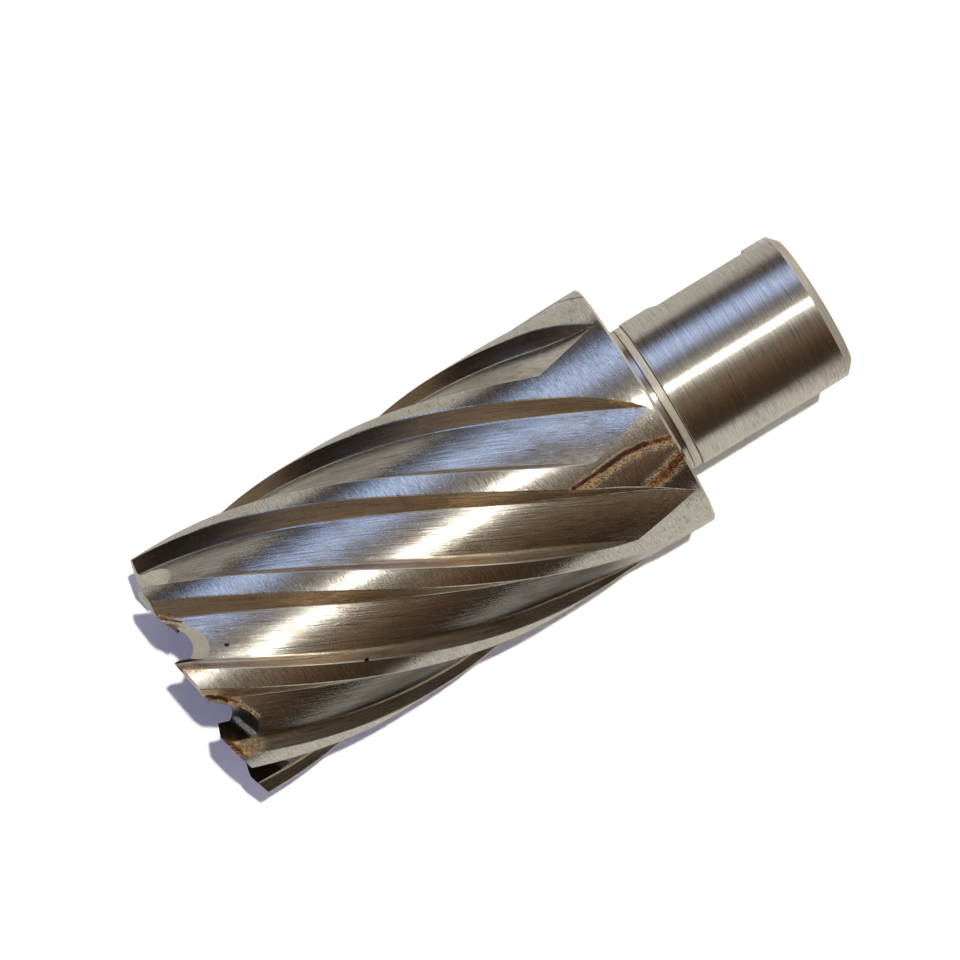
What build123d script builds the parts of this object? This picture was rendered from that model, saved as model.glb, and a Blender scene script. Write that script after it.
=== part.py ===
from build123d import *
from math import atan2, cos, degrees, pi, radians, sin, sqrt, tan
import os

# A long-series annular cutter for steel, ground from one bar of high-speed steel.
# It stands on the end of its shank, teeth up. The origin is the centre of the shank's end face.
# Heights run up +Z. A drop is a depth below the tooth tips.

# Driving sizes in millimetres and degrees
cutting_diameter = 31.75
shoulder_diameter = 31.5  # the body tapers back from the teeth so that it doesn't rub
shank_diameter = 19.05
neck_diameter = 18.7
slug_bore_diameter = 22.4
pilot_bore_diameter = 6.4

overall_length = 85.2
body_length = 62.1  # from the tooth tips to the shoulder
neck_length = 2.1
slug_bore_depth = 53.0
slug_floor_bevel = 1.0

tooth_count = 8
helix_angle = 30.0
facing_angle = -82.2  # where the outer corner of one tooth stands, counted from +X
land_width = 2.7

flute_back_depth = 1.9
flute_face_depth = 1.55
back_wall_run = 1.85  # how far a wall's root stands in from its outer edge, along the outside
face_wall_run = 0.7
flute_length = 61.5  # from the tips to where the back of the floor comes out
face_run_out = 8.3  # the floor comes out this much sooner on its face side
back_lift_length = 8.3
face_lift_length = 13.6

tip_inset = 2.6  # how far a tooth's point stands in from the outside
outer_edge_slope = 10.0
inner_edge_slope = 15.0
end_clearance = 10.5
grinding_stock = 0.4  # left above the tips until the ends of the teeth are ground
grinding_entry = 0.2  # how far ahead of the tip the end of a tooth is ground, in tooth pitches
grinding_exit = 0.53  # and how far behind it

gullet_depth = 3.5  # where the gullet's face meets the flute's floor
gullet_lead = 1.35  # how far that is ahead of the outer corner, along the outside
gullet_radius = 2.6
gullet_sink = 0.7  # how much further down the gullet's round floor goes
gullet_slope = 30.0  # how steeply the gullet's floor falls outwards
gullet_face_lean = 10.0
gullet_heel_slope = 14.0

flat_depth = 0.78
flat_length = 13.4
flat_to_end = 4.2
flat_ramp_angle = 30.0
first_flat_direction = 8.0  # counted from +X
flat_spread = 90.0

end_chamfer_height = 1.1
end_chamfer_depth = 1.2
shoulder_chamfer = 0.3
base_ring_height = 0.35
base_ring_step = 0.3
bore_chamfer = 0.5

# Sizes that follow from them
outer_radius = cutting_diameter / 2
shoulder_radius = shoulder_diameter / 2
shank_radius = shank_diameter / 2
neck_radius = neck_diameter / 2
slug_radius = slug_bore_diameter / 2
tip_radius = outer_radius - tip_inset
pitch_angle = 360 / tooth_count
pitch_length = pi * cutting_diameter / tooth_count
lead = pi * cutting_diameter / tan(radians(helix_angle))
shoulder_height = overall_length - body_length
shank_length = shoulder_height - neck_length
slug_bottom = overall_length - slug_bore_depth
clear = 1.0  # how far each cutting shape runs on past the bar


def turn_of(arc_length):
    """The angle that an arc on the outside takes up."""
    return degrees(arc_length / outer_radius)


def polar(radius, angle, height=0.0):
    return Vector(radius * cos(radians(angle)), radius * sin(radians(angle)), height)


def helix_turn(drop):
    """How far the flutes have turned at this drop, going down from the tips."""
    return -360 * drop / lead


# Flute walls, as angles ahead of the outer corner of the tooth that the flute serves
face_root_turn = turn_of(face_wall_run)
back_edge_turn = pitch_angle - turn_of(land_width)
back_root_turn = back_edge_turn - turn_of(back_wall_run)
floor_middle_turn = (face_root_turn + back_root_turn) / 2
outer_corner = polar(outer_radius, 0)
face_wall = outer_corner - polar(outer_radius - flute_face_depth, face_root_turn)
back_wall = polar(outer_radius, back_edge_turn) - polar(outer_radius - flute_back_depth, back_root_turn)
wall_reach = 3.0  # a wall is drawn this many times as high as it is
face_exit = flute_length - face_run_out
face_lift_start = face_exit - face_lift_length
# Past its exit the face side rises faster, so that the floor ends along a straight slanting line
late_rise = flute_back_depth / back_lift_length**2 - flute_face_depth / face_lift_length**2


def lift(drop, exit_drop, length, depth):
    """How far the grinding wheel has come up at this drop, on the arc by which it leaves the bar."""
    return depth * (max(0.0, drop - exit_drop + length) / length) ** 2


def flute_outline(drop):
    """The flute's section at one drop: two leaning walls and a broad floor round the bar's axis."""
    back_radius = outer_radius - flute_back_depth
    back_radius += lift(drop, flute_length, back_lift_length, flute_back_depth)
    face_radius = outer_radius - flute_face_depth
    face_radius += lift(drop, face_exit, face_lift_length, flute_face_depth)
    face_radius += late_rise * max(0.0, drop - face_exit) ** 2
    middle_radius = (back_radius + face_radius) / 2
    back_root = polar(back_radius, back_root_turn)
    face_root = polar(face_radius, face_root_turn)
    level = Plane.XY.offset(overall_length - drop).rotated((0, 0, facing_angle + helix_turn(drop)))
    with BuildSketch(level) as outline:
        with BuildLine():
            ThreePointArc(face_root, polar(middle_radius, floor_middle_turn), back_root)
            Polyline(
                back_root,
                back_root + back_wall * wall_reach,
                face_root + face_wall * wall_reach,
                face_root,
            )
        make_face()
    return outline.sketch


# One flute, from just above the tips to where the wheel has left the bar
even_steps = 4
lift_steps = 6
even_step = (face_lift_start + clear) / even_steps
lift_step = (flute_length + clear - face_lift_start) / lift_steps
flute_drops = [even_step * step - clear for step in range(even_steps)]
flute_drops += [face_lift_start + lift_step * step for step in range(lift_steps + 1)]
with BuildPart() as flute:
    loft([flute_outline(drop) for drop in flute_drops])

# The tip of a tooth lies where the flute's face wall, carried on inwards, meets the circle of tips
wall_along = outer_corner.dot(face_wall)
wall_square = face_wall.dot(face_wall)
below = outer_radius**2 - tip_radius**2
tip_share = (wall_along - sqrt(wall_along**2 - wall_square * below)) / wall_square
tip_flat = outer_corner - face_wall * tip_share
tip_turn = facing_angle + degrees(atan2(tip_flat.Y, tip_flat.X))
tip = polar(tip_radius, tip_turn, overall_length)

# One gullet, milled inwards and up from the flute's floor. Its face leans more ahead than the
# radius and passes through the tip. Below that its floor is round, as far as its sloping heel side.
floor_radius = outer_radius - flute_face_depth
gullet_turn = facing_angle + turn_of(gullet_lead) + helix_turn(gullet_depth)
gullet_root = polar(floor_radius, gullet_turn, overall_length - gullet_depth)
outward = polar(1, gullet_turn)
ahead = polar(1, gullet_turn + 90)
face_inward = ahead * sin(radians(gullet_face_lean)) - outward * cos(radians(gullet_face_lean))
face_normal = face_inward.cross(tip - gullet_root).normalized()
face_upward = face_normal.cross(face_inward)
mill_way = face_inward * cos(radians(gullet_slope)) + face_upward * sin(radians(gullet_slope))
mill_start = (outer_radius - floor_radius + clear) / cos(radians(gullet_slope))
mill_reach = (floor_radius - slug_radius + 2 * clear) / cos(radians(gullet_slope))
mill_height = 9.0
round_height = gullet_radius - gullet_sink
round_ahead = sqrt(gullet_radius**2 - round_height**2)
heel_out = gullet_radius * cos(radians(gullet_heel_slope))
heel_down = gullet_radius * sin(radians(gullet_heel_slope))
heel_start = (round_ahead + heel_out, round_height - heel_down)
heel_run = (mill_height - heel_start[1]) * tan(radians(gullet_heel_slope))
with BuildPart() as gullet:
    with BuildSketch(Plane(gullet_root - mill_way * mill_start, x_dir=face_normal, z_dir=-mill_way)):
        with BuildLine():
            ThreePointArc((0, 0), (round_ahead, -gullet_sink), heel_start)
            Polyline(heel_start, (heel_start[0] + heel_run, mill_height), (0, mill_height), (0, 0))
        make_face()
    extrude(amount=-(mill_start + mill_reach))

# The end of one tooth: two flats that fall away from the tip, outwards and inwards, and both fall
# back from the cutting edge. The grinding starts ahead of the edge and ends behind the heel.
back_down = -polar(cos(radians(end_clearance)), tip_turn + 90, sin(radians(end_clearance)))
roof_out = outer_radius - tip_radius + 2 * clear
roof_in = tip_radius - slug_radius + 2 * clear
roof_height = 4.0
entry_point = tip - back_down * grinding_entry * pitch_length
with BuildPart() as tooth_end:
    with BuildSketch(Plane(entry_point, x_dir=polar(1, tip_turn), z_dir=polar(1, tip_turn - 90))):
        with BuildLine():
            Polyline(
                (0, 0),
                (roof_out, -roof_out * tan(radians(outer_edge_slope))),
                (roof_out, roof_height),
                (-roof_in, roof_height),
                (-roof_in, -roof_in * tan(radians(inner_edge_slope))),
                close=True,
            )
        make_face()
    extrude(amount=(grinding_entry + grinding_exit) * pitch_length, dir=back_down)

with BuildPart() as annular_cutter:
    # The bar turned outside, with the collar between the body and the shank. Its section is drawn
    # on the side away from both flats.
    section_direction = first_flat_direction + flat_spread / 2 + 180
    section_plane = Plane(
        (0, 0, 0), x_dir=polar(1, section_direction), z_dir=polar(1, section_direction - 90)
    )
    with BuildSketch(section_plane):
        with BuildLine():
            Polyline(
                (0, 0),
                (shank_radius - end_chamfer_depth, 0),
                (shank_radius, end_chamfer_height),
                (shank_radius, shank_length),
                (neck_radius, shank_length),
                (neck_radius, shoulder_height - base_ring_height),
                (neck_radius + base_ring_step, shoulder_height - base_ring_height),
                (neck_radius + base_ring_step, shoulder_height),
                (shoulder_radius - shoulder_chamfer, shoulder_height),
                (shoulder_radius, shoulder_height + shoulder_chamfer),
                (outer_radius, overall_length),
                (outer_radius, overall_length + grinding_stock),
                (0, overall_length + grinding_stock),
                close=True,
            )
        make_face()
    revolve(axis=Axis.Z)

    # The hollow that takes the slug, and the bore for the pilot pin
    with BuildSketch(section_plane):
        with BuildLine():
            Polyline(
                (0, slug_bottom),
                (slug_radius, slug_bottom),
                (slug_radius, overall_length + clear),
                (0, overall_length + clear),
                close=True,
            )
        cavity = make_face()
        chamfer(cavity.vertices().group_by(Axis.Y)[0].sort_by(Axis.X)[-1], slug_floor_bevel)
    revolve(axis=Axis.Z, mode=Mode.SUBTRACT)
    with Locations(Plane.XY.offset(slug_bottom)):
        Hole(pilot_bore_diameter / 2)
    pilot_rims = edges().filter_by(GeomType.CIRCLE).group_by(Axis.Z)[0].sort_by(SortBy.RADIUS)
    chamfer(pilot_rims[0], bore_chamfer)

    # The two flats that the holder's screws press on
    for direction in (first_flat_direction, first_flat_direction + flat_spread):
        flat_plane = Plane((0, 0, flat_to_end), x_dir=polar(1, direction), z_dir=polar(1, direction - 90))
        flat_run_out = (flat_depth + clear) / tan(radians(flat_ramp_angle))
        flat_even = flat_length - flat_depth / tan(radians(flat_ramp_angle))
        with BuildSketch(flat_plane):
            with BuildLine():
                Polyline(
                    (shank_radius - flat_depth, 0),
                    (shank_radius + clear, 0),
                    (shank_radius + clear, flat_even + flat_run_out),
                    (shank_radius - flat_depth, flat_even),
                    close=True,
                )
            make_face()
        extrude(amount=shank_radius, both=True, mode=Mode.SUBTRACT)

    # Eight flutes, eight gullets and eight ground tooth ends
    with PolarLocations(0, tooth_count):
        add(flute.part, mode=Mode.SUBTRACT)
        add(gullet.part, mode=Mode.SUBTRACT)
        add(tooth_end.part, mode=Mode.SUBTRACT)

annular_cutter.part.label = "annular_cutter"
os.makedirs("parts", exist_ok=True)
export_step(annular_cutter.part, "parts/annular_cutter.step")
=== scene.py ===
"""An annular cutter standing on its shank, dressed for the photograph's view.

Metres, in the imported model's frame: the axis is Z, the teeth are up, and the camera looks
along +Y with its right side turned down, so that the cutter lies across the picture.
"""
from math import atan2, cos, degrees, pi, radians, sin, sqrt, tan

import bmesh
import bpy
import numpy as np
from mathutils import Matrix, Vector


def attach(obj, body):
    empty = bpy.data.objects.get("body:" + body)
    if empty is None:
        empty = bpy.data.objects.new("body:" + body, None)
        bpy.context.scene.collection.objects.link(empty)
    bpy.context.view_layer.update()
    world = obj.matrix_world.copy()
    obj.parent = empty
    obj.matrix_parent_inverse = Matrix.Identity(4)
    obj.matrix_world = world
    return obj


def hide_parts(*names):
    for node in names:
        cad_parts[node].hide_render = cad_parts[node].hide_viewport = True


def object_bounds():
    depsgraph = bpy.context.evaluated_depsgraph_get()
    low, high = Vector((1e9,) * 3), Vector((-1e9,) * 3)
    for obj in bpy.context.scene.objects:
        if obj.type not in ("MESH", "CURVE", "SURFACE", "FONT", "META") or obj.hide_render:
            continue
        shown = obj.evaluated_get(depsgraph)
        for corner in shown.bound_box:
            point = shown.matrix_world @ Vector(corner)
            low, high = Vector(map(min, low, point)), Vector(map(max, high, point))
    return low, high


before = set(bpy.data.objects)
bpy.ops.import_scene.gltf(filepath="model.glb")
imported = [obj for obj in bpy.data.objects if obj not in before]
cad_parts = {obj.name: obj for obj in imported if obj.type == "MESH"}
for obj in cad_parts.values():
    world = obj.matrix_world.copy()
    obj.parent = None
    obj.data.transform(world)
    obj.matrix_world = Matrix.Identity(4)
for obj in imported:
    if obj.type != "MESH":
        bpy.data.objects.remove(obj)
cad_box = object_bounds()
CUTTER = "annular_cutter"

scene = bpy.context.scene
scene.view_settings.view_transform = "Standard"


# Nodes

class Nodes:
    """A node tree with short calls for the nodes that this scene uses."""

    def __init__(self, tree):
        self.tree = tree
        tree.nodes.clear()

    def new(self, kind, **settings):
        node = self.tree.nodes.new(kind)
        for key, value in settings.items():
            setattr(node, key, value)
        return node

    def put(self, socket, value):
        if isinstance(value, bpy.types.NodeSocket):
            self.tree.links.new(value, socket)
        elif value is not None:
            if isinstance(value, (tuple, list)) and len(value) == 3 and len(socket.default_value) == 4:
                value = (*value, 1.0)
            socket.default_value = value

    def math(self, kind, a, b=None, c=None, clamp=False):
        node = self.new("ShaderNodeMath", operation=kind, use_clamp=clamp)
        for socket, value in zip(node.inputs, (a, b, c)):
            self.put(socket, value)
        return node.outputs[0]

    def rise(self, value, start, slope):
        """Grows from 0 at start to 1 within 1 / slope, and downwards where the slope is below 0."""
        return self.math("MULTIPLY_ADD", value, slope, -slope * start, clamp=True)

    def ramp(self, value, stops):
        node = self.new("ShaderNodeValToRGB")
        ramp = node.color_ramp
        while len(ramp.elements) < len(stops):
            ramp.elements.new(1.0)
        for element, (place, colour) in zip(ramp.elements, stops):
            element.position = place
            element.color = (*colour, 1.0) if len(colour) == 3 else colour
        self.put(node.inputs[0], value)
        return node.outputs[0]

    def mix(self, factor, a, b, blend="MIX"):
        node = self.new("ShaderNodeMix", data_type="RGBA", blend_type=blend)
        self.put(node.inputs[0], factor)
        self.put(node.inputs[6], a)
        self.put(node.inputs[7], b)
        return node.outputs[2]


def grey(level):
    return (level, level, level)


def scaled(colour, share):
    return tuple(min(1.0, c * share) for c in colour)


# Room

GLINT_FROM = Vector((0.056, -1.0, -0.16))
KEY_FROM = Vector((0.070, -1.0, -0.16))
KEY_STRENGTH = 2.9
GLINT_STRENGTH = 0.36
LAMP_SPREAD = radians(1.1)
LAMP_COLOUR = (1.0, 0.985, 0.91)

ROOM_STRENGTH = 0.75
# What a round bar that mirrors this share of the room shows at each angle round it. Angles are counted
# from the side that faces the camera, negative towards the top of the picture.
STEEL_SHARE = 0.56
BANDS = (
    (-90, (0.56, 0.53, 0.50)),
    (-75, (0.50, 0.48, 0.45)),
    (-69, (0.37, 0.345, 0.315)),
    (-63, (0.33, 0.305, 0.28)),
    (-57, (0.34, 0.315, 0.29)),
    (-51, (0.26, 0.235, 0.215)),
    (-48, (0.13, 0.11, 0.10)),
    (-45, (0.065, 0.052, 0.050)),
    (-39, (0.045, 0.038, 0.042)),
    (-35, (0.12, 0.14, 0.20)),
    (-33, (0.23, 0.30, 0.46)),
    (-27, (0.46, 0.58, 0.86)),
    (-21, (0.38, 0.46, 0.68)),
    (-17, (0.20, 0.21, 0.26)),
    (-13, (0.12, 0.11, 0.11)),
    (-9, (0.27, 0.25, 0.22)),
    (-4, (0.30, 0.28, 0.24)),
    (3, (0.55, 0.52, 0.45)),
    (7, (0.22, 0.19, 0.15)),
    (11, (0.15, 0.12, 0.09)),
    (15, (0.155, 0.105, 0.064)),
    (21, (0.097, 0.064, 0.040)),
    (27, (0.062, 0.037, 0.020)),
    (33, (0.046, 0.027, 0.014)),
    (39, (0.038, 0.026, 0.017)),
    (44, (0.034, 0.024, 0.018)),
    (47, (0.05, 0.04, 0.033)),
    (51, (0.17, 0.145, 0.12)),
    (57, (0.33, 0.29, 0.25)),
    (69, (0.39, 0.355, 0.30)),
    (75, (0.45, 0.41, 0.35)),
    (90, (0.56, 0.53, 0.50)),
)
# What the room is like towards the teeth's end and towards the shank's, which steep walls mirror. These
# angles are the room's own, twice those of the bar.
TEETH_WAY = (
    (-180, (0.56, 0.54, 0.50)),
    (-126, (0.48, 0.46, 0.42)),
    (-114, (0.40, 0.40, 0.38)),
    (-102, (0.25, 0.26, 0.27)),
    (-90, (0.12, 0.125, 0.14)),
    (-78, (0.06, 0.065, 0.075)),
    (-66, (0.035, 0.040, 0.050)),
    (-48, (0.045, 0.052, 0.070)),
    (-30, (0.075, 0.080, 0.10)),
    (-6, (0.17, 0.17, 0.20)),
    (18, (0.22, 0.21, 0.22)),
    (66, (0.21, 0.19, 0.16)),
    (80, (0.28, 0.26, 0.24)),
    (92, (0.44, 0.41, 0.40)),
    (104, (0.44, 0.41, 0.38)),
    (126, (0.48, 0.46, 0.40)),
    (180, (0.56, 0.54, 0.50)),
)
SHANK_WAY = (
    (-180, (0.5, 0.48, 0.46)),
    (-150, (0.4, 0.38, 0.37)),
    (-132, (0.38, 0.36, 0.35)),
    (-120, (0.8, 0.76, 0.74)),
    (-102, (1.35, 1.29, 1.26)),
    (-84, (0.75, 0.69, 0.63)),
    (-66, (0.39, 0.36, 0.33)),
    (-42, (0.27, 0.255, 0.24)),
    (-18, (0.15, 0.143, 0.135)),
    (6, (0.102, 0.0936, 0.084)),
    (54, (0.09, 0.0792, 0.0696)),
    (78, (0.048, 0.0396, 0.0336)),
    (100, (0.06, 0.05, 0.045)),
    (126, (0.22, 0.2, 0.19)),
    (180, (0.5, 0.48, 0.46)),
)
# A bright patch low on the shank's side, which only the walls under the teeth's faces mirror, with the
# distances from its middle at which it has faded out
WINDOW_TONE = (1.15, 0.95, 0.80)
WINDOW_TURN, WINDOW_HEIGHT = -74, -0.47
WINDOW_HALF_TURN, WINDOW_HALF_HEIGHT = 62, 1.1 / 9
OVERHEAD_TONE = (0.06, 0.05, 0.045)
# The height at which each of these begins to take over from the bands, and how steeply it does
TEETH_WAY_RISE, SHANK_WAY_RISE, OVERHEAD_RISE = (0.40, 7.0), (-0.35, -8.0), (0.875, 16.0)


def make_world():
    world = bpy.data.worlds.new("room")
    world.use_nodes = True
    n = Nodes(world.node_tree)
    where = n.new("ShaderNodeTexCoord").outputs["Generated"]
    split = n.new("ShaderNodeSeparateXYZ")
    n.put(split.inputs[0], where)
    x, y, z = split.outputs
    turn = n.math("ARCTAN2", n.math("MULTIPLY", x, -1.0), n.math("MULTIPLY", y, -1.0))
    place = n.math("MULTIPLY_ADD", turn, 1 / (2 * pi), 0.5)
    stops = [((angle + 90) / 180, tuple(c / STEEL_SHARE for c in tone)) for angle, tone in BANDS]
    bands = n.ramp(place, stops)
    teeth_way = n.ramp(place, [(angle / 360 + 0.5, tone) for angle, tone in TEETH_WAY])
    shank_way = n.ramp(place, [(angle / 360 + 0.5, tone) for angle, tone in SHANK_WAY])
    around = n.mix(n.rise(z, *TEETH_WAY_RISE), bands, teeth_way)
    around = n.mix(n.rise(z, *SHANK_WAY_RISE), around, shank_way)
    off_height = n.math("ABSOLUTE", n.math("ADD", z, -WINDOW_HEIGHT))
    off_turn = n.math("ABSOLUTE", n.math("MULTIPLY_ADD", place, 360, -WINDOW_TURN - 180))
    near_height = n.rise(off_height, WINDOW_HALF_HEIGHT, -9.0)
    near_turn = n.rise(off_turn, WINDOW_HALF_TURN, -0.05)
    around = n.mix(n.math("MULTIPLY", near_height, near_turn), around, WINDOW_TONE)
    around = n.mix(n.rise(z, *OVERHEAD_RISE), around, OVERHEAD_TONE)
    path = n.new("ShaderNodeLightPath")
    lit = n.new("ShaderNodeBackground")
    n.put(lit.inputs["Color"], around)
    n.put(lit.inputs["Strength"], ROOM_STRENGTH)
    white = n.new("ShaderNodeBackground")
    n.put(white.inputs["Color"], grey(1.0))
    both = n.new("ShaderNodeMixShader")
    n.put(both.inputs[0], path.outputs["Is Camera Ray"])
    n.put(both.inputs[1], lit.outputs[0])
    n.put(both.inputs[2], white.outputs[0])
    out = n.new("ShaderNodeOutputWorld")
    n.put(out.inputs["Surface"], both.outputs[0])
    scene.world = world


def make_lamps():
    """The key lights colours and throws the shadow, and the glint is what metal mirrors of it."""
    for name, strength, start, seen_by_metal in (
        ("key", KEY_STRENGTH, KEY_FROM, False),
        ("glint", GLINT_STRENGTH, GLINT_FROM, True),
    ):
        lamp = bpy.data.lights.new(name, "SUN")
        lamp.energy = strength
        lamp.angle = LAMP_SPREAD
        lamp.color = LAMP_COLOUR
        holder = bpy.data.objects.new(name, lamp)
        scene.collection.objects.link(holder)
        holder.rotation_mode = "QUATERNION"
        holder.rotation_quaternion = (-start).to_track_quat("-Z", "Y")
        holder.visible_glossy = seen_by_metal
        holder.visible_diffuse = not seen_by_metal


def plane(name, corners, material):
    mesh = bpy.data.meshes.new(name)
    mesh.from_pydata(corners, [], [tuple(range(len(corners)))])
    mesh.materials.append(material)
    made = bpy.data.objects.new(name, mesh)
    scene.collection.objects.link(made)
    return made


PAPER_COLOUR = grey(0.97)
# Where the lift of upright paper grows with height, and where what metal sees of paper grows darker
# towards the picture's top
LIFT_RISE, DARKER_RISE, DARKER_SHARE = (0.025, 20.0), (-1 / 120, 60.0), 0.87


def paper(name, lift, mirrored, upright):
    """White paper. lift is what the camera sees over the lit colour, mirrored what metal sees.

    On upright paper the lift grows from nothing at its foot to its full tone beside the teeth, and
    the paper is clear from behind.
    """
    material = bpy.data.materials.new(name)
    material.use_nodes = True
    n = Nodes(material.node_tree)
    path = n.new("ShaderNodeLightPath")
    matt = n.new("ShaderNodeBsdfDiffuse")
    n.put(matt.inputs["Color"], PAPER_COLOUR)
    glow = n.new("ShaderNodeEmission")
    n.put(glow.inputs["Color"], lift)
    spot = n.new("ShaderNodeSeparateXYZ")
    n.put(spot.inputs[0], n.new("ShaderNodeNewGeometry").outputs["Position"])
    growth = n.rise(spot.outputs[2], *LIFT_RISE) if upright else 1.0
    n.put(glow.inputs["Strength"], n.math("MULTIPLY", path.outputs["Is Camera Ray"], growth))
    seen = n.new("ShaderNodeAddShader")
    n.put(seen.inputs[0], matt.outputs[0])
    n.put(seen.inputs[1], glow.outputs[0])
    image = n.new("ShaderNodeBsdfDiffuse")
    upper_part = n.rise(spot.outputs[0], *DARKER_RISE)
    n.put(image.inputs["Color"], n.mix(upper_part, mirrored, scaled(mirrored, DARKER_SHARE)))
    front = n.new("ShaderNodeMixShader")
    n.put(front.inputs[0], path.outputs["Is Glossy Ray"])
    n.put(front.inputs[1], seen.outputs[0])
    n.put(front.inputs[2], image.outputs[0])
    result = front.outputs[0]
    if upright:
        side = n.new("ShaderNodeNewGeometry").outputs["Backfacing"]
        clear = n.new("ShaderNodeBsdfTransparent")
        either = n.new("ShaderNodeMixShader")
        n.put(either.inputs[0], side)
        n.put(either.inputs[1], result)
        n.put(either.inputs[2], clear.outputs[0])
        result = either.outputs[0]
    out = n.new("ShaderNodeOutputMaterial")
    n.put(out.inputs["Surface"], result)
    return material


def make_stage():
    # The backdrop leans, and these are how far behind the axis its foot and its top stand
    reach, foot, top = 0.8, 0.0184, -0.0020
    floor_paper = paper("floor_paper", grey(0.78), (0.55, 0.53, 0.50), False)
    # The upright paper's lift is a blue glow seen only by the camera, which paints a blue tint into its
    # shadow beside the teeth
    wall_paper = paper("wall_paper", (0.0, 0.0, 0.08), (0.46, 0.445, 0.42), True)
    floor = plane(
        "floor",
        [(-reach, -reach, 0), (reach, -reach, 0), (reach, reach, 0), (-reach, reach, 0)],
        floor_paper,
    )
    floor.visible_shadow = False
    floor.visible_glossy = False
    plane(
        "backdrop",
        [(-reach, foot, 0), (reach, foot, 0), (reach, top, reach), (-reach, top, reach)],
        wall_paper,
    )


# Camera

SENSOR_WIDTH, FOCAL_LENGTH = 36.0, 154.425
CAMERA_PLACE = Vector((0.002518, -0.482820, 0.049695))
CAMERA_RIGHT = Vector((-0.520979, -0.009389, -0.853518))
CAMERA_UP = Vector((0.853570, -0.005731, -0.520947))


def make_camera():
    data = bpy.data.cameras.new("camera")
    data.sensor_width = SENSOR_WIDTH
    data.lens = FOCAL_LENGTH
    data.clip_start = 0.01
    camera = bpy.data.objects.new("camera", data)
    scene.collection.objects.link(camera)
    back = CAMERA_RIGHT.cross(CAMERA_UP)
    matrix = Matrix((CAMERA_RIGHT, CAMERA_UP, back)).transposed().to_4x4()
    matrix.translation = CAMERA_PLACE
    camera.matrix_world = matrix
    scene.camera = camera


# Steel

# For each region: how the grinding lines run, how deep they are, the colour, the roughness, the share
# of the surface that has gone brown, and how strong the dark and bright specks are. Lines run round the
# bar, round it in short strokes, or along the flutes.
FINISHES = {
    "land": ("short", 2.0, (0.745, 0.718, 0.678), 0.20, 0.35, 1.0),
    "back_wall": ("along", 1.8, (0.692, 0.505, 0.333), 0.27, 0.5, 0.7),
    "floor": ("along", 3.0, (0.745, 0.718, 0.678), 0.205, 0.6, 1.0),
    "face_wall": ("along", 2.2, (0.63, 0.535, 0.41), 0.28, 0.8, 0.8),
    "edge": ("along", 1.0, (0.984, 0.904, 0.771), 0.40, 0.2, 0.3),
    "shank": ("round", 0.9, (0.745, 0.718, 0.678), 0.24, 0.10, 0.55),
    "turned": ("round", 1.2, (0.771, 0.705, 0.612), 0.44, 0.3, 0.3),
    "bore": ("round", 2.0, (0.346, 0.293, 0.239), 0.42, 0.5, 0.5),
    "gullet": ("along", 2.0, (0.825, 0.785, 0.705), 0.36, 0.35, 0.5),
    # Painted shade: the teeth's cutting faces are made nearly black for the shade in the gullets and the
    # dark hollow they mirror
    "cutting_face": ("along", 1.6, (0.0798, 0.0559, 0.0399), 0.36, 0.5, 0.5),
    "tooth_end": ("round", 2.0, (0.745, 0.718, 0.665), 0.36, 0.2, 0.4),
    "flat": ("along", 1.6, (0.692, 0.678, 0.638), 0.36, 0.1, 0.3),
    # Painted shade: near-black rings for the thin shadows in the neck's small steps
    "shaded_groove": ("round", 0.6, (0.133, 0.106, 0.0798), 0.45, 0.3, 0.2),
}
LINE_SCALE = {"round": (0.30, 0.30, 7.0), "short": (0.9, 0.9, 7.5), "along": (6.5, 6.5, 0.22)}
# In full turns from the way round the bar. The flutes lean by 0.083 of a turn.
LINE_TURN = {"round": 0.25, "short": 0.25, "along": 0.25 + 0.083}
ANISOTROPY = 0.75
# Metres that a line of depth 1 is deep, and the tones of its floor and its ridge against the colour
LINE_DEPTH = 0.000011
LOW_SHARE, HIGH_SHARE = 0.72, 1.24
# Where noise turns into brown patches and into rust, and how steeply
BROWN_RISE, RUST_RISE = (0.54, 5.0), (0.36, 9.0)
# Dark pits among the grain, bright specks that are partly dust and partly painted glints, and dark and
# bright scratches
SPECK_TONES = ((0.20, (0.40, 0.37, 0.33)), (0.32, grey(0.86)), (0.70, grey(1.08)), (0.80, grey(1.7)))
SCRATCH_TONES = ((0.30, grey(0.45)), (0.40, grey(0.92)), (0.60, grey(1.0)), (0.72, grey(1.22)))
RUST_TONES = (
    (0.38, (0.44, 0.22, 0.045)),
    (0.54, (0.24, 0.088, 0.016)),
    (0.70, (0.085, 0.024, 0.008)),
    (0.95, (0.026, 0.010, 0.007)),
)
BROWNING = (0.62, 0.50, 0.36)
# How dark the painted shade makes a region, as a share of its brown tone
PAINTED_SHADE_SHARE = 0.06
GOLD_TONE = (0.56, 0.28, 0.04)
# The tone of scraped wear and of painted highlights
SCRAPED_AND_HIGHLIGHT_TONE = (0.95, 0.93, 0.88)
STAIN_TONE = (0.020, 0.013, 0.011)
# How much roughness differs between lines, and how much rougher brown places, scraped places with the
# painted highlights, and rusted places are
UNEVENNESS, SHANK_UNEVENNESS = 0.14, 0.06
BROWN_ROUGHER, SCRAPED_AND_HIGHLIGHT_ROUGHER, RUST_ROUGHER = 0.05, 0.3, 0.35
# The neck and the chamfer are left dull by the lathe, rust is duller still, and the gold film goes part
# of the way there
MATT_METALLIC, RUST_METALLIC, GOLD_DULLNESS = 0.65, 0.1, 0.7


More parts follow.
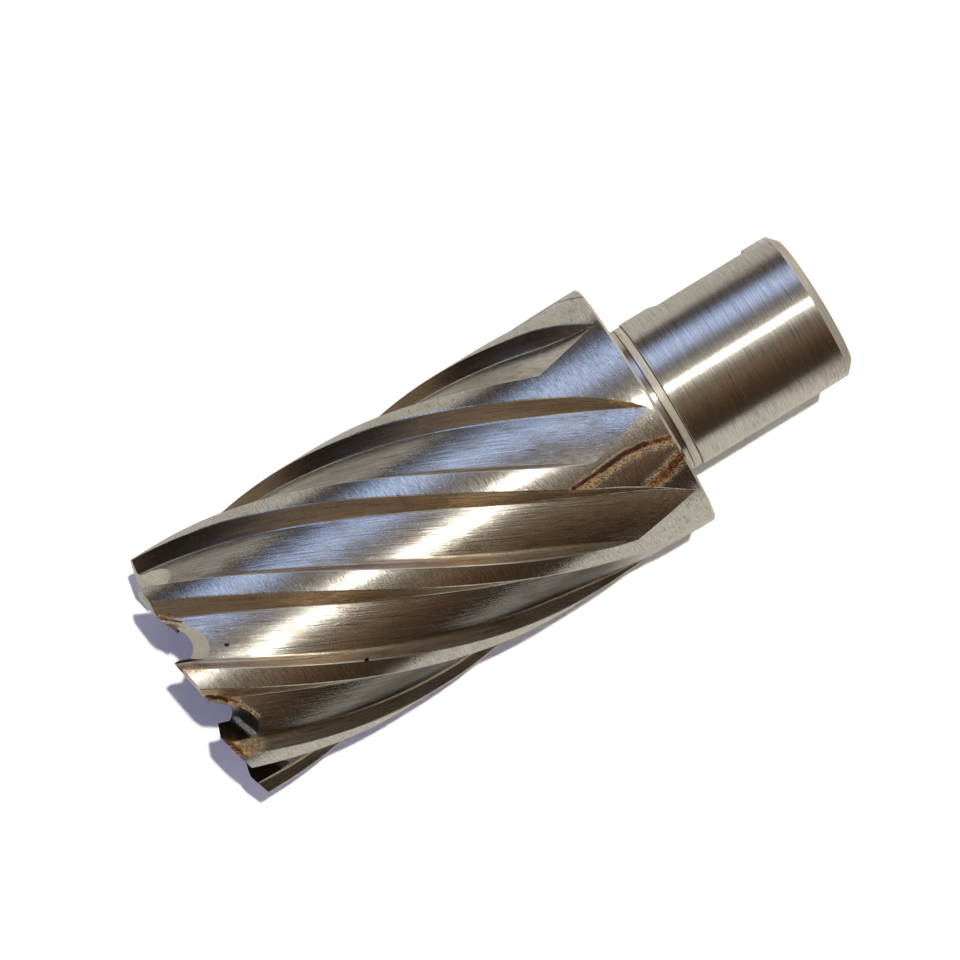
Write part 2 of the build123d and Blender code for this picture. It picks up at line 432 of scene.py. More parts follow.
def steel(region):
    way, depth, colour, roughness, brown, grain = FINISHES[region]
    material = bpy.data.materials.new("steel_" + region)
    material.use_nodes = True
    n = Nodes(material.node_tree)
    place = n.new("ShaderNodeAttribute", attribute_name="place").outputs["Vector"]
    rust, gold, wear_and_highlight, stain, dark = (
        n.new("ShaderNodeAttribute", attribute_name=name).outputs["Fac"]
        for name in ("rust", "gold", "wear_and_highlight", "stain", "dark_" + region)
    )

    def noise(scale, detail=2.0, rough=0.55):
        stretch = n.new("ShaderNodeVectorMath", operation="MULTIPLY")
        n.put(stretch.inputs[0], place)
        n.put(stretch.inputs[1], scale)
        node = n.new("ShaderNodeTexNoise")
        n.put(node.inputs["Vector"], stretch.outputs[0])
        n.put(node.inputs["Scale"], 1.0)
        n.put(node.inputs["Detail"], detail)
        n.put(node.inputs["Roughness"], rough)
        return node.outputs["Fac"]

    lines = noise(LINE_SCALE[way], 3.0)
    wide_lines = noise(tuple(s * 0.22 for s in LINE_SCALE[way]), 2.0)
    specks = noise((6.5, 6.5, 6.5), 1.0, 0.6)
    lumps = noise((2.2, 2.2, 2.2), 2.0)
    clouds = noise((0.33, 0.33, 0.25), 4.0)

    tone = n.mix(lines, scaled(colour, LOW_SHARE), scaled(colour, HIGH_SHARE))
    patch = n.rise(clouds, *BROWN_RISE)
    brown_tone = tuple(a * b for a, b in zip(colour, BROWNING))
    tone = n.mix(n.math("MULTIPLY", patch, brown), tone, brown_tone)
    # Painted shade: regions darkened by turn, towards a small share of their brown tone
    if region in PAINTED_SHADE:
        tone = n.mix(dark, tone, scaled(brown_tone, PAINTED_SHADE_SHARE))

    dusty = n.math("MULTIPLY_ADD", specks, 4.0, n.math("MULTIPLY_ADD", lumps, 2.0, -2.6))
    film = n.math("MULTIPLY", gold, dusty, clamp=True)
    tone = n.mix(film, tone, GOLD_TONE)
    tone = n.mix(grain, tone, n.ramp(specks, SPECK_TONES), "MULTIPLY")
    tone = n.mix(grain, tone, n.ramp(lines, SCRATCH_TONES), "MULTIPLY")
    # Scraped wear and painted highlights, broken up by the specks
    scraped_and_highlight = n.math("MULTIPLY", wear_and_highlight, n.math("MULTIPLY_ADD", specks, 4.0, -1.0), clamp=True)
    tone = n.mix(scraped_and_highlight, tone, SCRAPED_AND_HIGHLIGHT_TONE)

    ragged = n.math("MULTIPLY_ADD", specks, 1.7, -0.85)
    ragged = n.math("MULTIPLY_ADD", lumps, 1.0, n.math("SUBTRACT", ragged, 0.5))
    stained = n.math("MULTIPLY", stain, n.math("MULTIPLY_ADD", lumps, 3.0, -0.5), clamp=True)
    tone = n.mix(stained, tone, STAIN_TONE)

    near_rust = n.math("MULTIPLY", rust, 5.0, clamp=True)
    edge = n.math("MULTIPLY_ADD", ragged, near_rust, rust)
    rusted = n.rise(edge, *RUST_RISE)
    tone = n.mix(rusted, tone, n.ramp(edge, RUST_TONES))

    unevenness = SHANK_UNEVENNESS if region == "shank" else UNEVENNESS
    shine = n.math("MULTIPLY_ADD", n.math("SUBTRACT", wide_lines, 0.5), unevenness, roughness)
    shine = n.math("MULTIPLY_ADD", patch, BROWN_ROUGHER, shine)
    shine = n.math("MULTIPLY_ADD", scraped_and_highlight, SCRAPED_AND_HIGHLIGHT_ROUGHER, shine)
    shine = n.math("MULTIPLY_ADD", rusted, RUST_ROUGHER, shine, clamp=True)

    height = n.math("MULTIPLY", lines, 0.6 - 0.1 * grain)
    height = n.math("MULTIPLY_ADD", specks, 0.5 + 0.25 * grain, height)
    height = n.math("MULTIPLY_ADD", n.math("MULTIPLY", rusted, specks), 2.4, height)
    bump = n.new("ShaderNodeBump")
    n.put(bump.inputs["Strength"], 1.0)
    n.put(bump.inputs["Distance"], LINE_DEPTH * depth)
    n.put(bump.inputs["Height"], height)

    shader = n.new("ShaderNodeBsdfPrincipled")
    n.put(shader.inputs["Base Color"], tone)
    bare = MATT_METALLIC if region == "turned" else 1.0
    dull = n.math("MAXIMUM", rusted, n.math("MULTIPLY", film, GOLD_DULLNESS))
    n.put(shader.inputs["Metallic"], n.math("MULTIPLY_ADD", dull, RUST_METALLIC - bare, bare))
    n.put(shader.inputs["Roughness"], shine)
    n.put(shader.inputs["Anisotropic"], ANISOTROPY)
    n.put(shader.inputs["Anisotropic Rotation"], LINE_TURN[way])
    tangent = n.new("ShaderNodeTangent", direction_type="RADIAL", axis="Z")
    n.put(shader.inputs["Tangent"], tangent.outputs[0])
    n.put(shader.inputs["Normal"], bump.outputs[0])
    out = n.new("ShaderNodeOutputMaterial")
    n.put(out.inputs["Surface"], shader.outputs[0])
    return material


# The cutter's shape

# Sizes in millimetres and degrees, as in the part's source
MILLIMETRE = 0.001
OUTER_RADIUS, SHOULDER_RADIUS = 15.875, 15.75
SHANK_RADIUS, NECK_RADIUS, SLUG_RADIUS, PILOT_RADIUS = 9.525, 9.35, 11.2, 3.2
LENGTH, BODY_LENGTH, NECK_LENGTH, SLUG_DEPTH = 85.2, 62.1, 2.1, 53.0
TEETH = 8
PITCH = 360 / TEETH
FACING = -82.2
HELIX_RATE = -360 * tan(radians(30)) / (pi * 2 * OUTER_RADIUS)
BACK_DEPTH, FACE_DEPTH = 1.9, 1.55
BACK_RUN, FACE_RUN, LAND = 1.85, 0.7, 2.7
FLUTE_LENGTH, FACE_EXIT = 61.5, 53.2
BACK_LIFT, FACE_LIFT = 8.3, 13.6
FACE_ROUNDING, BACK_ROUNDING, EDGE_BREAK, SHOULDER_BREAK = 0.8, 0.3, 0.10, 0.3
# How far the bar is drawn past the teeth, for the tooth ends to be cut from
STOCK = 0.4
# A height of wall that counts as none, and how near to each other points are doubled, or one in a face
NOTHING, DOUBLED, EMPTY = 1e-4, 1e-4, 1e-5

REGIONS = (
    "land", "back_wall", "floor", "face_wall", "edge", "shank", "turned", "bore", "gullet",
    "cutting_face", "tooth_end", "flat", "shaded_groove",
)
REGION = {name: index for index, name in enumerate(REGIONS)}


def turn_of(arc):
    return degrees(arc / OUTER_RADIUS)


FACE_ROOT_TURN = turn_of(FACE_RUN)
BACK_EDGE_TURN = PITCH - turn_of(LAND)
BACK_ROOT_TURN = BACK_EDGE_TURN - turn_of(BACK_RUN)
LATE_RISE = BACK_DEPTH / BACK_LIFT**2 - FACE_DEPTH / FACE_LIFT**2


def point(radius, turn):
    return np.array((radius * cos(radians(turn)), radius * sin(radians(turn))))


FACE_WALL = point(OUTER_RADIUS, 0) - point(OUTER_RADIUS - FACE_DEPTH, FACE_ROOT_TURN)
BACK_WALL = point(OUTER_RADIUS, BACK_EDGE_TURN) - point(OUTER_RADIUS - BACK_DEPTH, BACK_ROOT_TURN)


def bar_radius(drop):
    share = min(1.0, max(0.0, drop / (BODY_LENGTH - SHOULDER_BREAK)))
    return OUTER_RADIUS + (SHOULDER_RADIUS - OUTER_RADIUS) * share


def floor_radii(drop):
    """The floor's radius at its back root and at its face root."""
    back = OUTER_RADIUS - BACK_DEPTH
    back += BACK_DEPTH * (max(0.0, drop - FLUTE_LENGTH + BACK_LIFT) / BACK_LIFT) ** 2
    face = OUTER_RADIUS - FACE_DEPTH
    face += FACE_DEPTH * (max(0.0, drop - FACE_EXIT + FACE_LIFT) / FACE_LIFT) ** 2
    face += LATE_RISE * max(0.0, drop - FACE_EXIT) ** 2
    return back, face


def up_to_circle(start, way, radius):
    """Where a line from start along way meets the circle of this radius."""
    a, b, c = way @ way, start @ way, start @ start - radius**2
    return start + way * ((-b + sqrt(max(0.0, b * b - a * c))) / a)


def unit(v):
    return v / max(1e-12, sqrt(v @ v))


def between(a, b, steps):
    """Points from a towards b, with b left out."""
    return [a + (b - a) * (i / steps) for i in range(steps)]


def corner_arc(corner, first, second, radius, steps):
    """A rounding in the corner between two directions, as steps + 1 points."""
    half = np.arccos(np.clip(first @ second, -1, 1)) / 2
    reach = radius / tan(half)
    middle = corner + unit(first + second) * (radius / sin(half))
    start, end = corner + first * reach, corner + second * reach
    points = []
    for i in range(steps + 1):
        way = unit(start - middle) * (1 - i / steps) + unit(end - middle) * (i / steps)
        points.append(middle + unit(way) * radius)
    return points


FACE_STEPS, FACE_ROUND_STEPS, FLOOR_STEPS, BACK_ROUND_STEPS, BACK_STEPS, LAND_STEPS = 3, 6, 22, 3, 4, 12
COLUMNS = (
    ("edge", 1), ("face_wall", FACE_STEPS), ("face_wall", FACE_ROUND_STEPS), ("floor", FLOOR_STEPS),
    ("floor", BACK_ROUND_STEPS), ("back_wall", BACK_STEPS), ("land", 1), ("land", LAND_STEPS),
)
COLUMNS_TO_FLOOR = 1 + FACE_STEPS + FACE_ROUND_STEPS
COLUMNS_TO_LAND = sum(count for _, count in COLUMNS) - LAND_STEPS
COLUMN_REGIONS = [REGION[name] for name, count in COLUMNS for _ in range(count)]


def floor_point(share, back, face):
    """A point of the floor, from its face root at share 0 to its back root at 1."""
    turn = FACE_ROOT_TURN + (BACK_ROOT_TURN - FACE_ROOT_TURN) * share
    return point(face + (back - face) * share, turn)


def face_side(radius, back, face):
    """The points from a tooth's face edge to the floor, the floor's first share and the first turn."""
    if face >= radius - NOTHING:
        start_share = (face - radius) / (face - back)
        rim = floor_point(start_share, back, face)
        return [rim] * COLUMNS_TO_FLOOR, start_share, degrees(atan2(rim[1], rim[0]))
    face_root = point(face, FACE_ROOT_TURN)
    face_edge = up_to_circle(face_root, FACE_WALL, radius)
    scale = min(1.0, (radius - face) / FACE_DEPTH)
    wall = unit(face_root - face_edge)
    along = unit(floor_point(0.05, back, face) - face_root)
    rounding = corner_arc(face_root, -wall, along, FACE_ROUNDING * scale, FACE_ROUND_STEPS)
    broken = EDGE_BREAK * min(1.0, 4 * scale)
    first_turn = degrees(atan2(face_edge[1], face_edge[0])) - turn_of(broken)
    points = [point(radius, first_turn)]
    points += between(face_edge + wall * broken, rounding[0], FACE_STEPS)
    points += rounding[:-1]
    floor_turn = degrees(atan2(rounding[-1][1], rounding[-1][0]))
    start_share = np.interp(floor_turn, (FACE_ROOT_TURN, BACK_ROOT_TURN), (0, 1))
    return points, start_share, first_turn


def pitch_section(drop):
    """One pitch of the bar's section at a drop, from a tooth's face edge to the next tooth's."""
    radius = bar_radius(drop)
    back, face = floor_radii(drop)
    if back >= radius - NOTHING:
        tip = point(radius, BACK_ROOT_TURN)
        return with_land([tip] * COLUMNS_TO_LAND, radius, BACK_ROOT_TURN, BACK_ROOT_TURN + PITCH)
    back_root = point(back, BACK_ROOT_TURN)
    back_edge = up_to_circle(back_root, BACK_WALL, radius)
    wall_height = sqrt((back_edge - back_root) @ (back_edge - back_root))
    points, start_share, first_turn = face_side(radius, back, face)
    wall = unit(back_edge - back_root)
    along = unit(floor_point(0.97, back, face) - back_root)
    scale = min(1.0, (radius - back) / BACK_DEPTH)
    rounding = corner_arc(back_root, along, wall, BACK_ROUNDING * scale, BACK_ROUND_STEPS)
    reach = sqrt((rounding[0] - back_root) @ (rounding[0] - back_root)) / radius
    end_share = max(start_share, 1 - degrees(reach) / (BACK_ROOT_TURN - FACE_ROOT_TURN))
    for i in range(FLOOR_STEPS):
        share = start_share + (end_share - start_share) * i / FLOOR_STEPS
        points.append(floor_point(share, back, face))
    points += rounding[:-1]
    broken = min(EDGE_BREAK, wall_height / 4)
    points += between(rounding[-1], back_edge - wall * broken, BACK_STEPS)
    points.append(back_edge - wall * broken)
    land_turn = degrees(atan2(back_edge[1], back_edge[0])) + turn_of(broken)
    return with_land(points, radius, land_turn, first_turn + PITCH)


def with_land(points, radius, start_turn, end_turn):
    """The section's points with the land's points after them."""
    for i in range(LAND_STEPS):
        points.append(point(radius, start_turn + (end_turn - start_turn) * i / LAND_STEPS))
    return np.array(points)


def crossing(difference, low, high):
    """Where a difference that is positive at low comes down to nothing."""
    for _ in range(50):
        middle = (low + high) / 2
        if difference(middle) > 0:
            low = middle
        else:
            high = middle
    return low


# Down to here the rings stand evenly, and below it they are closer together
EVEN_DROP = 45
EXIT_DROP = crossing(lambda d: bar_radius(d) - floor_radii(d)[1], EVEN_DROP, 60)
TIP_DROP = crossing(lambda d: bar_radius(d) - floor_radii(d)[0], 55, 61.7)
# From one drop to another, with the number of rings, both ends counted
RING_SPANS = ((0, EVEN_DROP, 84), (EVEN_DROP, EXIT_DROP, 19), (EXIT_DROP, TIP_DROP, 26))


def body_rings():
    """The bar with its flutes as rings of points, from above the tips down to the shoulder."""
    drops = [-STOCK, 0]
    for start, end, count in RING_SPANS:
        drops += list(np.linspace(start, end, count))[1:]
    drops.append(BODY_LENGTH - SHOULDER_BREAK)
    rings = []
    for drop in drops:
        section = pitch_section(drop)
        parts = []
        for tooth in range(TEETH):
            angle = radians(FACING + HELIX_RATE * drop + PITCH * tooth)
            c, s = cos(angle), sin(angle)
            x = section[:, 0] * c - section[:, 1] * s
            y = section[:, 0] * s + section[:, 1] * c
            parts.append(np.stack((x, y, np.full(len(section), LENGTH - drop)), axis=1))
        rings.append(np.concatenate(parts))
    return rings


SHOULDER = LENGTH - BODY_LENGTH
SHANK_TOP = SHOULDER - NECK_LENGTH
COLLAR_RISE, COLLAR_LENGTH = 0.3, 0.35
SHANK_BREAK, CHAMFER_RUN, CHAMFER_HEIGHT, SHANK_STEPS = 0.05, 1.2, 1.1, 24
SHANK_EDGE = SHANK_TOP - SHANK_BREAK
STRAIGHT_LENGTH = SHANK_TOP - (CHAMFER_HEIGHT + SHANK_BREAK)
# Radius and height of the shoulder, neck and shank from the body down, and the region above each
# The near-black rings in the neck's small steps are painted shade
LOWER_PROFILE = (
    (SHOULDER_RADIUS - SHOULDER_BREAK, SHOULDER, "turned"),
    (NECK_RADIUS + COLLAR_RISE, SHOULDER, "turned"),
    (NECK_RADIUS + COLLAR_RISE, SHOULDER - COLLAR_LENGTH, "turned"),
    (NECK_RADIUS, SHOULDER - COLLAR_LENGTH, "shaded_groove"),
    (NECK_RADIUS, SHOULDER - 0.95, "shank"),
    (NECK_RADIUS - 0.04, SHOULDER - 0.97, "shaded_groove"),
    (NECK_RADIUS - 0.04, SHOULDER - 1.05, "shaded_groove"),
    (NECK_RADIUS, SHOULDER - 1.07, "edge"),
    (NECK_RADIUS, SHOULDER - 1.17, "edge"),
    (NECK_RADIUS, SHANK_TOP + 0.12, "turned"),
    (NECK_RADIUS - 0.05, SHANK_TOP + 0.10, "shaded_groove"),
    (NECK_RADIUS - 0.05, SHANK_TOP, "shaded_groove"),
    (SHANK_RADIUS - SHANK_BREAK, SHANK_TOP, "shaded_groove"),
    (SHANK_RADIUS, SHANK_EDGE, "turned"),
    *(
        (SHANK_RADIUS, SHANK_EDGE - STRAIGHT_LENGTH * i / SHANK_STEPS, "shank")
        for i in range(1, SHANK_STEPS + 1)
    ),
    (SHANK_RADIUS - CHAMFER_RUN, 0.0, "turned"),
)


def tidy_mesh(name, points, faces, regions):
    """A mesh whose doubled points are joined and whose empty faces are gone."""
    mesh = bpy.data.meshes.new(name)
    mesh.from_pydata(points, [], faces)
    mesh.polygons.foreach_set("material_index", regions)
    work = bmesh.new()
    work.from_mesh(mesh)
    bmesh.ops.remove_doubles(work, verts=work.verts, dist=DOUBLED)
    bmesh.ops.dissolve_degenerate(work, edges=work.edges, dist=EMPTY)
    bmesh.ops.recalc_face_normals(work, faces=work.faces)
    work.to_mesh(mesh)
    work.free()
    return mesh


def body_mesh():
    rings = body_rings()
    regions = [COLUMN_REGIONS * TEETH] * (len(rings) - 1)
    last = rings[-1]
    way = last[:, :2] / np.hypot(last[:, 0], last[:, 1])[:, None]
    for radius, height, region in LOWER_PROFILE:
        rings.append(np.column_stack((way * radius, np.full(len(way), height))))
        regions.append([REGION[region]] * len(way))
    count = len(last)
    points = np.concatenate(rings)
    faces, marks = [], []
    for row, row_regions in enumerate(regions):
        for column in range(count):
            after = (column + 1) % count
            a, b = row * count + column, row * count + after
            faces.append((a, b, b + count, a + count))
            marks.append(row_regions[column])
    faces.append(tuple(reversed(range(count))))
    marks.append(REGION["tooth_end"])
    faces.append(tuple(range(len(points) - count, len(points))))
    marks.append(REGION["turned"])
    return tidy_mesh("cutter_body", points.tolist(), faces, marks)


def revolved(profile, region, steps=120):
    """A closed turned shape from (radius, height) points that start and end on the axis."""
    points, faces = [], []
    for radius, height in profile:
        if radius == 0:
            points.append([(0.0, 0.0, height)])
        else:
            angles = [2 * pi * i / steps for i in range(steps)]
            points.append([(radius * cos(a), radius * sin(a), height) for a in angles])
    starts = np.cumsum([0] + [len(ring) for ring in points])
    for row in range(len(points) - 1):
        for i in range(steps):
            j = (i + 1) % steps
            low = [starts[row] + (k if len(points[row]) > 1 else 0) for k in (i, j)]
            high = [starts[row + 1] + (k if len(points[row + 1]) > 1 else 0) for k in (j, i)]
            face = list(dict.fromkeys(low + high))
            faces.append(tuple(int(k) for k in face))
    flat = [p for ring in points for p in ring]
    return flat, faces, [REGION[region]] * len(faces)


def prism(outline, place, x_way, y_way, run, region):
    """A closed prism: an outline in the plane of x_way and y_way, carried along run."""
    start = [place + x_way * x + y_way * y for x, y in outline]
    count = len(start)
    points = [tuple(p) for p in start] + [tuple(p + run) for p in start]
    faces = [tuple(range(count)), tuple(reversed(range(count, 2 * count)))]
    for i in range(count):
        j = (i + 1) % count
        faces.append((j, i, i + count, j + count))
    return points, faces, [REGION[region]] * len(faces)


def joined(name, shapes):
    points, faces, marks = [], [], []
    for shape_points, shape_faces, shape_marks in shapes:
        start = len(points)
        points += shape_points
        faces += [tuple(i + start for i in face) for face in shape_faces]
        marks += shape_marks
    return tidy_mesh(name, points, faces, marks)


def polar3(radius, turn, height=0.0):
    return Vector((radius * cos(radians(turn)), radius * sin(radians(turn)), height))


def turned_about_axis(shape, angle):
    points, faces, marks = shape
    c, s = cos(radians(angle)), sin(radians(angle))
    return [(x * c - y * s, x * s + y * c, z) for x, y, z in points], faces, marks


def tooth_tip():
    """The direction of the point of the tooth that faces FACING, as a turn in degrees."""
    corner = point(OUTER_RADIUS, 0)
    along, square = corner @ FACE_WALL, FACE_WALL @ FACE_WALL
    below = OUTER_RADIUS**2 - TIP_RADIUS**2
    share = (along - sqrt(along**2 - square * below)) / square
    x, y = corner - FACE_WALL * share
    return FACING + degrees(atan2(y, x))


# How far inside the outer radius a tooth's point lies
TIP_INSET = 2.6
TIP_RADIUS = OUTER_RADIUS - TIP_INSET
TIP_TURN = tooth_tip()
TIP = polar3(TIP_RADIUS, TIP_TURN, LENGTH)


def gullet_shape():
    depth, lead, radius, sink, height = 3.5, 1.35, 2.6, 0.7, 9.0
    slope, lean, heel = radians(30), radians(10), radians(14)
    floor_radius = OUTER_RADIUS - FACE_DEPTH
    turn = FACING + turn_of(lead) + HELIX_RATE * depth
    root = polar3(floor_radius, turn, LENGTH - depth)
    inward = polar3(1, turn + 90) * sin(lean) - polar3(1, turn) * cos(lean)
    normal = inward.cross(TIP - root).normalized()
    upward = normal.cross(inward)
    mill_way = inward * cos(slope) + upward * sin(slope)
    start = (OUTER_RADIUS - floor_radius + 1) / cos(slope)
    reach = (floor_radius - SLUG_RADIUS + 2) / cos(slope)
    round_height = radius - sink
    round_ahead = sqrt(radius**2 - round_height**2)
    first = atan2(-round_height, -round_ahead)
    last = -heel
    outline, steps = [], 24
    for i in range(steps + 1):
        angle = first + (last - first) * i / steps
        outline.append((round_ahead + radius * cos(angle), round_height + radius * sin(angle)))
    outline.append((outline[-1][0] + (height - outline[-1][1]) * tan(heel), height))
    outline.append((0.0, height))
    y_way = (-mill_way).cross(normal)
    shape = prism(outline, root - mill_way * start, normal, y_way, mill_way * (start + reach), "gullet")
    shape[2][-1] = REGION["cutting_face"]
    return shape


def tooth_end_shape():
    pitch_length = pi * 2 * OUTER_RADIUS / TEETH
    clearance, outer_fall, inner_fall = radians(10.5), radians(10), radians(15)
    entry_share, run_share, height = 0.2, 0.73, 4.0
    back_down = -polar3(cos(clearance), TIP_TURN + 90, sin(clearance))
    out, inn = OUTER_RADIUS - TIP_RADIUS + 2, TIP_RADIUS - SLUG_RADIUS + 2
    outline = (
        (0, 0), (out, -out * tan(outer_fall)), (out, height), (-inn, height),
        (-inn, -inn * tan(inner_fall)),
    )
    entry = TIP - back_down * (entry_share * pitch_length)
    run = back_down * (run_share * pitch_length)
    return prism(outline, entry, polar3(1, TIP_TURN), Vector((0, 0, 1)), run, "tooth_end")


def flat_shape(direction):
    depth, length, start, reach, past, ramp = 0.78, 13.4, 4.2, 9.5, 1, tan(radians(30))
    even, run_out = length - depth / ramp, (depth + past) / ramp
    outline = (
        (SHANK_RADIUS - depth, 0), (SHANK_RADIUS + past, 0), (SHANK_RADIUS + past, even + run_out),
        (SHANK_RADIUS - depth, even),
    )
    side = polar3(1, direction + 90)
    place = Vector((0, 0, start)) - side * reach
    return prism(outline, place, polar3(1, direction), Vector((0, 0, 1)), side * 2 * reach, "flat")


FLAT_DIRECTIONS = (8, 98)
BORE_PROFILE = (
    (0, -1), (PILOT_RADIUS + 1.5, -1), (PILOT_RADIUS, 0.5), (PILOT_RADIUS, LENGTH - SLUG_DEPTH),
    (SLUG_RADIUS - 1, LENGTH - SLUG_DEPTH), (SLUG_RADIUS, LENGTH - SLUG_DEPTH + 1),
    (SLUG_RADIUS, LENGTH + 2), (0, LENGTH + 2),
)


def cut(mesh, cutter, materials):
    """mesh with cutter taken away."""
    shapes = []
    for data in (mesh, cutter):
        if not data.materials:
            for material in materials:
                data.materials.append(material)
        shape = bpy.data.objects.new(data.name, data)
        scene.collection.objects.link(shape)
        shapes.append(shape)
    body, tool = shapes
    change = body.modifiers.new("cut", "BOOLEAN")
    change.operation = "DIFFERENCE"
    change.solver = "EXACT"
    change.object = tool
    bpy.context.view_layer.update()
    result = bpy.data.meshes.new_from_object(body.evaluated_get(bpy.context.evaluated_depsgraph_get()))
    for shape in shapes:
        bpy.data.objects.remove(shape)
    return result


def strip(turn, drop, first, last, width):
    """How far each place is from a line between two (turn, drop) places on the outside, in widths."""
    scale = np.array((pi * OUTER_RADIUS / 180, 1.0))
    a, b = np.array(first) * scale, np.array(last) * scale
    spot = np.stack((turn, drop), axis=1) * scale
    run = b - a
    share = np.clip((spot - a) @ run / (run @ run), 0, 1)
    return np.linalg.norm(spot - a - share[:, None] * run, axis=1) / width


def turn_and_drop(spots):
    x, y, z = spots.T
    return (np.degrees(np.arctan2(y, x)) + 270) % 360 - 180, LENGTH - z, np.hypot(x, y)


FINEST_EDGE = 0.10


def refine_near_marks(work):
    """Halves the long edges near each mark until the mark's outline has enough points."""
    for _ in range(5):
        work.verts.ensure_lookup_table()
        edges = list(work.edges)
        ends = np.array([[edge.verts[0].co, edge.verts[1].co] for edge in edges])
        length = np.linalg.norm(ends[:, 0] - ends[:, 1], axis=1)
        turn, drop, radius = turn_and_drop(ends.mean(axis=1))
        wanted = np.zeros(len(edges), bool)
        for marks in MARKS.values():
            for spots_along, width, _, lowest in marks:
                long_ones = (length > max(FINEST_EDGE, width / 3)) & (radius > lowest)
                for first, last in zip(spots_along, spots_along[1:]):
                    gap = strip(turn, drop, first, last, 1.0)
                    wanted |= long_ones & (gap < width + length / 2)
        if not wanted.any():
            break
        chosen = [edge for edge, yes in zip(edges, wanted) if yes]
        bmesh.ops.subdivide_edges(work, edges=chosen, cuts=1)
        bmesh.ops.triangulate(work, faces=[f for f in work.faces if len(f.verts) > 3])


def add_places(mesh):
    """Stores each point's place with the helix taken out, for the lines, and the strength of each mark."""
    spots = np.zeros(len(mesh.vertices) * 3)
    mesh.vertices.foreach_get("co", spots)
    spots = spots.reshape(-1, 3)
    x, y, z = spots.T
    drop = LENGTH - z
    back = -np.radians(HELIX_RATE * np.clip(drop, 0, BODY_LENGTH))
    place = np.stack((x * np.cos(back) - y * np.sin(back), x * np.sin(back) + y * np.cos(back), z), axis=1)
    mesh.attributes.new("place", "FLOAT_VECTOR", "POINT").data.foreach_set("vector", place.ravel())
    turn, drop, radius = turn_and_drop(spots)
    for name, marks in MARKS.items():
        value = np.zeros(len(x))
        for spots_along, width, strength, lowest in marks:
            for first, last in zip(spots_along, spots_along[1:]):
                near = np.clip(MARK_SLOPE * (1 - strip(turn, drop, first, last, width)), 0, 1)
                value = np.maximum(value, near * strength * (radius > lowest))
        mesh.attributes.new(name, "FLOAT", "POINT").data.foreach_set("value", value)
    # Painted shade for some regions, by turn round the bar
    for name, stops in PAINTED_SHADE.items():
        turns, shares = zip(*stops)
        near_side = np.clip((FAR_TURN - np.abs(turn)) / FADING_TURN, FAR_SHARE, 1)
        dark = np.interp(turn, turns, shares) * near_side
        if name == "floor":
            dark *= np.clip((UNSHADED_DROP - drop) / FADING_DROP, 0, 1)
        mesh.attributes.new("dark_" + name, "FLOAT", "POINT").data.foreach_set("value", dark)
    low, high = (np.array(corner) for corner in cad_box)
    mesh.vertices.foreach_set("co", np.clip(spots * MILLIMETRE, low, high).ravel())
    mesh.update()


# Each mark runs along (turn, drop) places and has a width, a strength and the radius that it stays
# outside. A turn is counted from the side that faces the camera, positive towards the picture's top.
MARK_SLOPE = 1.7
STREAK = ((-14.1, 49.2), (-13.6, 52.8), (-12.6, 56.3), (-13.8, 58.8), (-17.0, 61.6))
PATCH = ((-31.2, 57.2), (-30.4, 59.0), (-26.5, 61.9))
MARKS = {
    "rust": (
        (STREAK[:2], 0.34, 0.95, 15.3),
        (STREAK[1:4], 0.46, 1.05, 15.3),
        (STREAK[3:], 0.40, 0.75, 15.3),
        (PATCH[:2], 0.75, 0.62, 15.3),
        (PATCH[1:], 0.85, 0.80, 15.3),
        (((-9.3, 1.4), (-13.4, 2.5), (-16.0, 3.0)), 0.40, 1.0, 12.5),
        (((-11.5, 2.4), (-19.5, 3.9)), 0.24, 0.7, 13.2),
        (((-34.6, 0.4), (-39.3, 1.1)), 0.40, 0.70, 13.9),
        (((34.5, 1.3), (29.7, 2.6), (27.5, 3.1)), 0.20, 0.72, 12.5),
        (((9.6, 0.1), (6.6, 0.5)), 0.30, 0.70, 13.0),
    ),
    "stain": (
        (((6.4, 6.2), (5.9, 6.4)), 0.24, 1.3, 12.5),
        (((-9.5, 1.5), (-12.0, 2.2)), 0.20, 1.0, 12.5),
        (((-8.0, 8.9), (-8.4, 9.1)), 0.16, 1.1, 14.8),
        (((-17.2, 14.1), (-17.6, 14.3)), 0.16, 1.1, 14.8),
        (((-31.5, 18.8), (-31.9, 19.1)), 0.16, 1.1, 14.8),
        (((78.0, 55.0), (80.0, 59.0), (67.0, 61.8)), 0.35, 0.7, 15.3),
    ),
    "gold": (
        (tuple((turn - 1.6, drop + 0.1) for turn, drop in STREAK), 0.95, 1.0, 15.3),
        (PATCH, 1.4, 0.85, 15.3),
        (((-11.0, 2.2), (-19.8, 3.9)), 0.65, 1.2, 12.5),
        (((-19.8, 3.9), (-26.5, 4.6), (-31.0, 4.9)), 0.45, 0.85, 13.2),
        (((-34.0, 0.3), (-39.5, 1.3), (-41.0, 1.9)), 0.7, 1.1, 13.9),
        (((-41.0, 1.9), (-42.5, 3.2)), 1.1, 0.45, 13.9),
        (((34.5, 1.3), (27.0, 3.2)), 0.5, 1.0, 12.5),
        (((9.5, 58.0), (-0.7, 60.5)), 0.35, 1.0, 15.0),
        (((9.6, 0.1), (2.0, 2.4)), 0.6, 0.9, 13.0),
    ),
    # Scraped wear and painted highlights: the bright line along the upper rim of the rust streak and the
    # bright streak in a gullet by the tooth's face are painted highlights, the short marks at turns 10 to
    # 17 are scraped lines
    "wear_and_highlight": (
        (((-12.2, 52.0), (-11.2, 55.0), (-11.0, 56.8)), 0.16, 1.0, 15.3),
        (((-12.0, 50.2), (-11.9, 51.4)), 0.12, 0.8, 15.3),
        (((-32.6, 2.6), (-35.0, 2.8), (-38.4, 3.4)), 0.50, 0.75, 11.0),
        (((17.0, 5.3), (13.0, 6.8)), 0.10, 1.0, 13.0),
        (((13.5, 5.3), (10.5, 7.4)), 0.08, 0.9, 13.0),
    ),
}
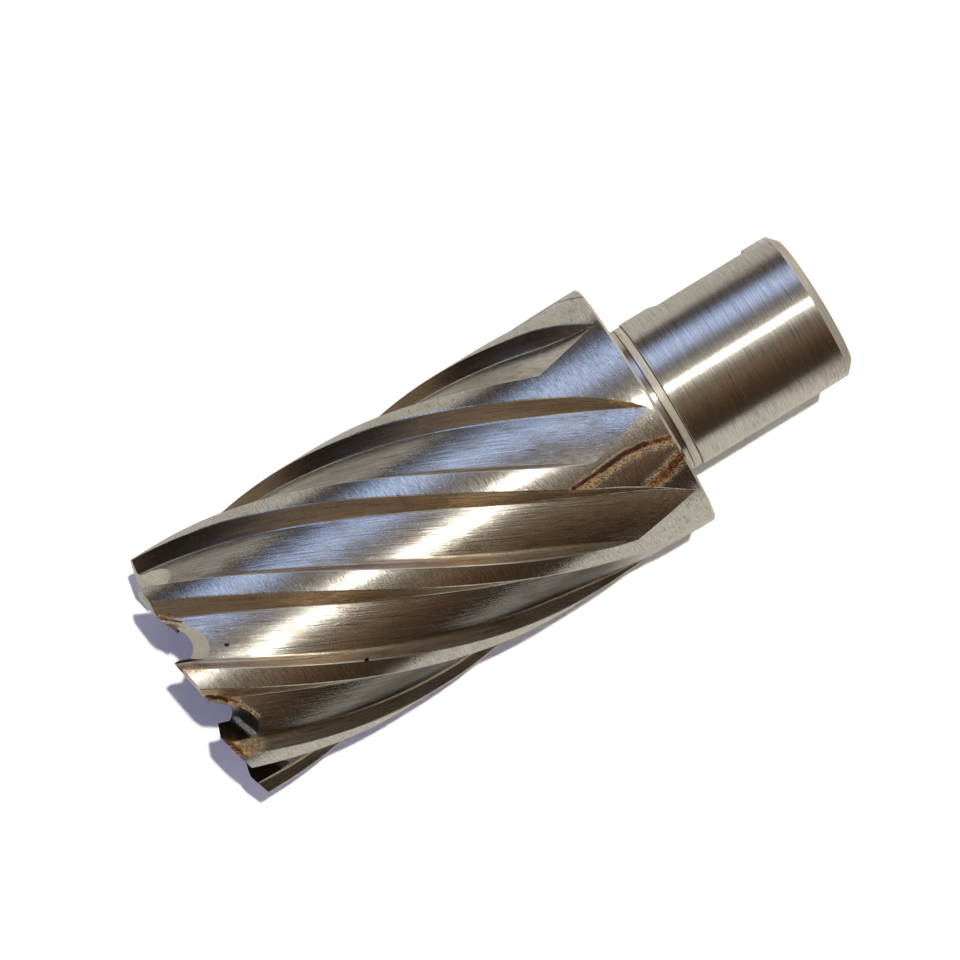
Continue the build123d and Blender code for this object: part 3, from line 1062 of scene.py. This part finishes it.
# Painted shade: how much darker some regions are made, by turn, for the shade and dim reflections
# in the flutes and gullets. All of them are paler on the far side, and the floor has none of it where it
# comes up to the outside.
PAINTED_SHADE = {
    "back_wall": (
        (-40, 0.30), (-10, 0.20), (0, 0.05), (50, 0.0), (56, 0.35), (63, 0.62), (78, 0.62), (95, 0.6),
    ),
    "floor": (
        (-90, 0.5), (-76, 0.85), (-64, 0.83), (-54, 0.60), (-44, 0.35), (-38, 0.0), (41, 0.0), (50, 0.42),
        (60, 0.42), (72, 0.15),
    ),
    "gullet": ((-60, 0.9), (-30, 0.88), (-18, 0.0)),
}
# Where the painted shade fades towards the far side and the share left there, and the drop past which the
# floor has none
FAR_TURN, FADING_TURN, FAR_SHARE = 130, 30, 0.3
UNSHADED_DROP, FADING_DROP = 54, 6
# Faces that meet at a sharper angle have an edge between them, and so do all regions but these pairs
SHARP = radians(20)
SMOOTH_PAIRS = ({REGION["face_wall"], REGION["floor"]}, {REGION["back_wall"], REGION["floor"]})


def make_cutter(materials):
    mesh = body_mesh()
    around = [PITCH * tooth for tooth in range(TEETH)]
    for cutter in (
        joined("bores", [revolved(BORE_PROFILE, "bore")]),
        joined("flats", [flat_shape(direction) for direction in FLAT_DIRECTIONS]),
        joined("gullets", [turned_about_axis(gullet_shape(), a) for a in around]),
        joined("even_ends", [turned_about_axis(tooth_end_shape(), a) for a in around[::2]]),
        joined("odd_ends", [turned_about_axis(tooth_end_shape(), a) for a in around[1::2]]),
    ):
        mesh = cut(mesh, cutter, materials)
        print("cut", cutter.name, len(mesh.polygons))
    work = bmesh.new()
    work.from_mesh(mesh)
    bmesh.ops.triangulate(work, faces=work.faces)
    refine_near_marks(work)
    for edge in work.edges:
        faces = edge.link_faces
        if len(faces) == 2:
            regions = {face.material_index for face in faces}
            run_on = len(regions) == 1 or regions in SMOOTH_PAIRS
            edge.smooth = run_on and edge.calc_face_angle(0) <= SHARP
    for face in work.faces:
        face.smooth = True
    work.to_mesh(mesh)
    work.free()
    add_places(mesh)
    made = bpy.data.objects.new("cutter", mesh)
    scene.collection.objects.link(made)
    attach(made, "root")
    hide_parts(CUTTER)
    return made


make_world()
make_lamps()
make_stage()
make_camera()

make_cutter([steel(name) for name in REGIONS])
